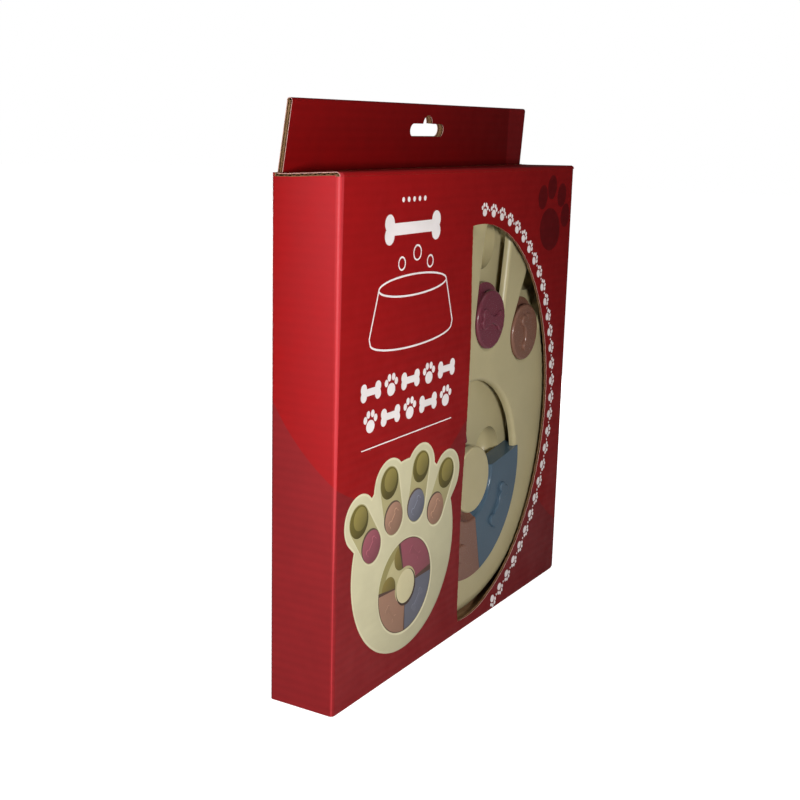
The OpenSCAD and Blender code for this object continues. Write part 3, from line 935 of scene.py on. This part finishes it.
def stadiumLine(first, second, r, steps=14):
    angle = atan2(second[1] - first[1], second[0] - first[0])
    ends = ((second, angle - pi / 2), (first, angle + pi / 2))
    return [spot for centre, turn in ends for spot in arcLine(*centre, r, r, turn, pi, steps)]


def strokeLine(points, width):
    # one outline round a bent stroke of even width
    left, right = [], []
    for i, p in enumerate(points):
        a, b = Vector(points[max(0, i - 1)]), Vector(points[min(len(points) - 1, i + 1)])
        d = (b - a).normalized() * width / 2
        left.append((p[0] - d.y, p[1] + d.x))
        right.append((p[0] + d.y, p[1] - d.x))
    return left + right[::-1]


def turned(pieces, x, z, turn):
    c, s = cos(radians(turn)), sin(radians(turn))
    return [[(x + c * a - s * b, z + s * a + c * b) for a, b in line] for line in pieces]


def bonePieces(x, z, length, height, turn=0.0):
    knob = height * 0.3
    shaftX, shaftZ = length / 2 - knob, height * 0.2
    pieces = [[(-shaftX, -shaftZ), (shaftX, -shaftZ), (shaftX, shaftZ), (-shaftX, shaftZ)]]
    pieces += [circleLine(i * shaftX, j * (height / 2 - knob), knob, 20) for i in (-1, 1) for j in (-1, 1)]
    return turned(pieces, x, z, turn)


def pawPieces(x, z, size, turn=0.0):
    pieces = [circleLine(0, -size * 0.16, size * 0.3, 32, 0.86)]
    for angle in (-66, -23, 23, 66):
        a = radians(angle)
        toe = size * 0.4 * sin(a), size * 0.38 * cos(a) - size * 0.02
        pieces.append(circleLine(*toe, size * 0.13, 20, 1.15))
    return turned(pieces, x, z, turn)


layerStep = 0.012


def joinOutlines(outlines):
    # triangles that cover overlapping outlines once
    points, rings = [], []
    for outline in outlines:
        turn = sum(a[0] * b[1] - b[0] * a[1] for a, b in zip(outline, outline[1:] + outline[:1]))
        ring = outline if turn > 0 else outline[::-1]
        rings.append(list(range(len(points), len(points) + len(ring))))
        points += [Vector(p) for p in ring]
    made = delaunay_2d_cdt(points, [], rings, 1, 1e-4)
    return made[0], [face for face, source in zip(made[2], made[5]) if source]


def inkMesh(name, groups, paint):
    # flat inks in layers on the front; groups are (layer, outlines, colour rule or None)
    shape = bmesh.new()
    ink = shape.loops.layers.float_color.new("ink")
    for layer, outlines, colour in groups:
        points, triangles = joinOutlines(outlines)
        verts = [shape.verts.new((x * mm, -layer * layerStep * mm, z * mm)) for x, z in points]
        for triangle in triangles:
            face = shape.faces.new([verts[i] for i in triangle])
            for loop in face.loops:
                c = colour(loop.vert.co.x / mm, loop.vert.co.z / mm) if colour else (255, 255, 255)
                loop[ink] = fromScreen(*c)
    sliceShape(shape, *bow["inkCuts"])
    bowIn(shape.verts, frontFace)
    for face in shape.faces:
        face.normal_update()
        if face.normal.y > 0:
            face.normal_flip()
    piece = finishPiece(name, shape, [paint])
    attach(piece, "carton")


def shaded(base, light=0.0, fall=0.0, centre=(0, 0), reach=60.0):
    # a print colour that lightens towards the upper left and darkens away from it
    def rule(x, z):
        t = max(-1, min(1, ((centre[0] - x) + (z - centre[1])) / reach))
        k = 1 + light * max(0, t) - fall * max(0, -t)
        return tuple(max(0, min(255, c * k)) for c in base)
    return rule


picture = {
    "palm": (-72.7, 74, 60),
    # each toe: centre, radius, well, cap and the cap's tint
    "toes": [
        ((-124.2, 108), 16.3, (-125.2, 108.5), (-111.2, 90), "plum"),
        ((-92.7, 121), 17.3, (-93.2, 123.5), (-86.9, 100.5), "roseBrown"),
        ((-57.2, 123), 17.2, (-56.9, 125.3), (-60.7, 101.8), "slateBlue"),
        ((-23.7, 112.5), 16.6, (-24.7, 114), (-36.2, 93.5), "roseBrown"),
    ],
    "wellR": 9.7,
    "capR": 9.9,
    "ring": (-71.4, 54.4, 31.2, 29.4),
    "ringWells": ((-19.5, 2.6), (-5.5, 19)),
    "sectors": ((9, 103, "plum"), (-90, 1.5, "slateBlue"), (-183, -91.5, "roseBrown")),
    "hub": (-71.2, 53.6, 10.6),
    "tints": {
        "cream": (200, 193, 158), "rim": (214, 207, 172), "channel": (176, 166, 120),
        "well": (98, 88, 42), "wellFloor": (134, 122, 66), "capShade": (92, 74, 62),
        "plum": (138, 76, 86), "roseBrown": (152, 116, 96), "slateBlue": (106, 107, 118),
        "ringWall": (150, 140, 90), "ringFloor": (186, 176, 132), "ringWell": (118, 104, 56),
        "sectorShade": (84, 62, 54), "hubShade": (66, 50, 44), "hubTop": (206, 196, 156),
    },
}


def paintPicture():
    tints, shapes = picture["tints"], []

    def add(layer, outlines, tint, *shading, gain=1.0):
        base = tuple(min(255, v * gain) for v in tints[tint])
        shapes.append((layer, outlines, shaded(base, *shading)))

    palmX, palmZ, palmR = picture["palm"]
    for layer, grow, tint, light, fall in ((2, 0.0, "rim", 0.04, 0.3), (3, -1.3, "cream", 0.05, 0.16)):
        outlines = [circleLine(palmX, palmZ, palmR + grow, 96)]
        for centre, r, *_ in picture["toes"]:
            foot = (palmX + (centre[0] - palmX) * 0.45, palmZ + (centre[1] - palmZ) * 0.25)
            outlines.append(stadiumLine(centre, foot, r + grow, 32))
        add(layer, outlines, tint, light, fall, (palmX, 70), 110)
    capR, wellR = picture["capR"], picture["wellR"]
    for _, _, w, c, tint in picture["toes"]:
        add(4, [stadiumLine((w[0] + 0.7, w[1] - 0.5), (c[0] + 0.7, c[1] - 0.5), capR + 1.2)], "rim")
        add(5, [stadiumLine(w, c, capR + 0.4)], "channel", 0, 0.3, c, 30)
        add(6, [circleLine(*w, wellR)], "well", 0.12, 0.25, w, 9)
        add(7, [circleLine(w[0] + 1.2, w[1] + 1.5, wellR * 0.72)], "wellFloor", 0.1, 0.2, w, 9)
        add(8, [circleLine(c[0] - 0.9, c[1] + 0.9, capR + 0.3)], "capShade")
        add(9, [circleLine(*c, capR)], tint, 0.16, 0.12, c, 12)
        add(10, bonePieces(c[0] - 0.3, c[1] + 0.3, 12.5, 5.6, 48), tint, gain=1.28)
        add(11, bonePieces(c[0] + 0.1, c[1] - 0.1, 12, 5.0, 48), tint, 0.05, 0.1, c, 10)
    ringX, ringZ, ringA, ringB = picture["ring"]
    squash = ringB / ringA
    add(4, [circleLine(ringX + 0.5, ringZ - 0.4, ringA + 1.1, 72, squash)], "rim")
    add(5, [circleLine(ringX, ringZ, ringA, 72, squash)], "ringWall")
    add(6, [circleLine(ringX + 2, ringZ - 1.5, ringA - 3.5, 72, squash)], "ringFloor")
    for x, z in picture["ringWells"]:
        spot = (ringX + x, ringZ + z)
        add(7, [circleLine(*spot, 8, 32)], "ringWell", 0.15, 0.2, spot, 9)
    for first, last, tint in picture["sectors"]:
        lit = (tint, 0.05, 0.08, (ringX, ringZ), 30)
        for layer, grow, gap, look in ((8, 0.5, 4.0, ("sectorShade",)), (9, 0, -0.3, lit)):
            a0, a1 = radians(first - gap), radians(last + gap)
            outer = arcLine(ringX, ringZ, ringA - 0.6 + grow, ringB - 0.6 + grow, a0, a1 - a0, 24)
            add(layer, [outer + arcLine(ringX, ringZ, 12.2, 11.6, a1, a0 - a1, 16)], *look)
        mid = radians((first + last) / 2)
        x, z, turn = ringX + 21.5 * cos(mid), ringZ + 20.5 * sin(mid), degrees(mid) + 90
        for layer, gain, shift in ((10, 1.25, 0.25), (11, 0.98, 0.0)):
            add(layer, bonePieces(x - shift, z + shift, 15, 5.6, turn), tint, gain=gain)
    hubX, hubZ, hubR = picture["hub"]
    add(10, [circleLine(hubX + 0.7, hubZ - 0.9, hubR + 0.9)], "hubShade")
    add(11, [circleLine(hubX, hubZ, hubR)], "hubTop", 0.02, 0.05, (hubX, hubZ), 14)
    inkMesh("frontPicture", shapes, pictureInk)


paintPicture()

motifs = {
    "rule": ((-124.7, 149), (-21.7, 149)),
    "ruleWidth": 0.7,
    "bone": (-73.7, 269.5, 62, 17),
    "dots": (-85.7, 285.5, 6, 1.5),
    "rowHeights": (181.5, 164),
    "rowSpan": (-115.7, -29.7),
    "rowBone": (21, 10.5),
    "rowPaw": 14.5,
    "bowl": (-71.7, 229),
    # height above the bowl's place, half width and depth of its rim and its foot
    "bowlRim": (8, 38, 6),
    "bowlFoot": (-21, 46, 7),
    "bowlFlare": (47, -18),
    "bowlStroke": 1.1,
    "kibble": ((-14, 21, 3.6), (3, 26, 4.2), (18, 20, 3.4)),
    "paw": (116, 266, 56, -20),
    "pawEnd": (146.8, 296.5),
}


def paintWhite():
    outlines = [strokeLine(motifs["rule"], motifs["ruleWidth"])]
    add = outlines.extend
    add(bonePieces(*motifs["bone"]))
    dotX, dotZ, dotStep, dotR = motifs["dots"]
    add(circleLine(dotX + dotStep * k, dotZ, dotR, 16) for k in range(5))
    rowFrom, rowTo = motifs["rowSpan"]
    for row, z in enumerate(motifs["rowHeights"]):
        for k in range(5):
            x = rowFrom + k * (rowTo - rowFrom) / 4
            even = (k + row) % 2 == 0
            add(bonePieces(x, z, *motifs["rowBone"]) if even else pawPieces(x, z, motifs["rowPaw"]))
    # a food bowl in line, with a few pieces of kibble over it
    x, z = motifs["bowl"]
    rim, foot, flare = motifs["bowlRim"], motifs["bowlFoot"], motifs["bowlFlare"]
    lines = [arcLine(x, z + rim[0], rim[1], rim[2], turn, pi, 24) for turn in (0, pi)]
    side = ((rim[1], rim[0]), flare, (foot[1], foot[0]))
    lines += [[(x + sign * across, z + up) for across, up in side] for sign in (-1, 1)]
    lines.append(arcLine(x, z + foot[0], foot[1], foot[2], pi, pi, 24))
    add(strokeLine(line, motifs["bowlStroke"]) for line in lines)
    for pieceX, pieceZ, r in motifs["kibble"]:
        ring = arcLine(x + pieceX, z + pieceZ, r, r, steps=24)
        add(strokeLine(half, 1.0) for half in (ring[:13], ring[12:]))
    inkMesh("frontWhite", [(1, outlines, None)], whiteInk)


paintWhite()


def borderTree():
    # paws and dots in turn along a line
    inputs = {"Line": "Geometry", "Spacing": "Float", "Long motif": "Object", "Dot": "Object", "Ink": "Material"}
    tree, given, result = newTree("windowBorder", "GeometryNodeTree", inputs, {"Border": "Geometry"})
    curve = addNode(tree, "GeometryNodeMeshToCurve", {0: given.outputs["Line"]})
    spread = addNode(tree, "GeometryNodeResampleCurve")
    spread.mode = "LENGTH"
    fill(spread, {"Curve": curve.outputs[0], "Length": given.outputs["Spacing"]})
    along = {"Vector": addNode(tree, "GeometryNodeInputTangent").outputs[0]}
    turn = addNode(tree, "FunctionNodeAlignRotationToVector", along, axis="X", pivot_axis="Y")
    odd = calc(tree, "MODULO", addNode(tree, "GeometryNodeInputIndex").outputs[0], 2)
    join = addNode(tree, "GeometryNodeJoinGeometry")
    for label, chosen in (("Long motif", calc(tree, "SUBTRACT", 1, odd)), ("Dot", odd)):
        info = addNode(tree, "GeometryNodeObjectInfo", {"Object": given.outputs[label]})
        inputs = {
            "Points": spread.outputs[0], "Selection": chosen, "Instance": info.outputs["Geometry"],
            "Rotation": turn.outputs[0],
        }
        fill(join, {0: addNode(tree, "GeometryNodeInstanceOnPoints", inputs).outputs[0]})
    return endTree(tree, join, given.outputs["Ink"], result)


border = {"away": 8.6, "spacing": 6.2, "from": -70.8, "to": 88, "steps": 160, "paw": 9.4, "dot": 0.8}


def flatMotif(name, lines):
    points, triangles = joinOutlines(lines)
    return addMesh(name, [(x * mm, 0, z * mm) for x, z in points], [], triangles)


def makeBorder():
    a, b = window["halfWidth"] + border["away"], window["halfHeight"] + border["away"]
    points, steps = [], border["steps"]
    for k in range(steps + 1):
        t = radians(border["from"] + (border["to"] - border["from"]) * k / steps)
        x, z = window["x"] + a * cos(t), window["z"] + b * sin(t)
        points.append(point(x, frontFace - layerStep, z))
    base = addMesh("borderLine", points, [(k, k + 1) for k in range(steps)], [])
    paw = flatMotif("longMotif", pawPieces(0, 0, border["paw"], 180))
    dot = flatMotif("dot", [circleLine(0, 0, border["dot"], 16)])
    values = {"Spacing": border["spacing"] * mm, "Long motif": paw, "Dot": dot, "Ink": whiteInk}
    addTree(base, "border", borderTree(), values)
    made = applied(base, "windowBorder")
    for motif in (paw, dot):
        bpy.data.objects.remove(motif)
    bowIn(made.data.vertices)
    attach(made, "carton")


makeBorder()


def paintPaw():
    # a big tonal paw print that runs off the top right corner
    endX, endZ = motifs["pawEnd"]
    inside = [[(min(endX, x), min(endZ, z)) for x, z in line] for line in pawPieces(*motifs["paw"])]
    inkMesh("frontPaw", [(0.5, inside, None)], tonePrint)


paintPaw()
print("front print made")


refining = {"merge": 3e-6, "flat": 0.2, "weight": 90}


def refine(node, name, paint, slotName, body):
    # a merged copy of the moulded piece with smooth shading over its roundings
    shape = bmesh.new()
    shape.from_mesh(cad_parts[node].data)
    bmesh.ops.remove_doubles(shape, verts=shape.verts, dist=refining["merge"])
    bmesh.ops.dissolve_limit(shape, angle_limit=radians(refining["flat"]), verts=shape.verts, edges=shape.edges)
    for face in shape.faces:
        face.material_index = 0
    base = finishPiece(name, shape, [paint], sharp["moulded"])
    weigh = base.modifiers.new("normals", "WEIGHTED_NORMAL")
    weigh.keep_sharp = True
    weigh.weight = refining["weight"]
    piece = applied(base, name)
    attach(piece, body)
    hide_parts(node)


moulded = {
    "cream_plastic": (creamPlastic, {"top_shell": "pawShell", "bottom_tray": "pawTray", "hub_cap": "hubCap"}),
    "steel_screw": (screwSteel, {"hub_screw": "hubScrew", "shell_screws": "shellScrews"}),
    "foot_rubber": (footRubber, {"rubber_feet": "rubberFeet"}),
}
for slotName, (paint, pieces) in moulded.items():
    for node, name in pieces.items():
        refine(node, name, paint, slotName, "toy_base")
plum, brown = (plumPlastic, "plum_plastic"), (brownPlastic, "rose_brown_plastic")
blue = (bluePlastic, "slate_blue_plastic")
caps = {"outer_left": brown, "inner_left": blue, "inner_right": plum, "outer_right": brown}
sectors = {"right": blue, "lower": brown, "upper": plum}
for node, body, movers in (("toe_cap_", "cap_", caps), ("ring_sector_", "sector_", sectors)):
    for place, look in movers.items():
        refine(node + place, body + place, *look, body + place)
print("toy made")
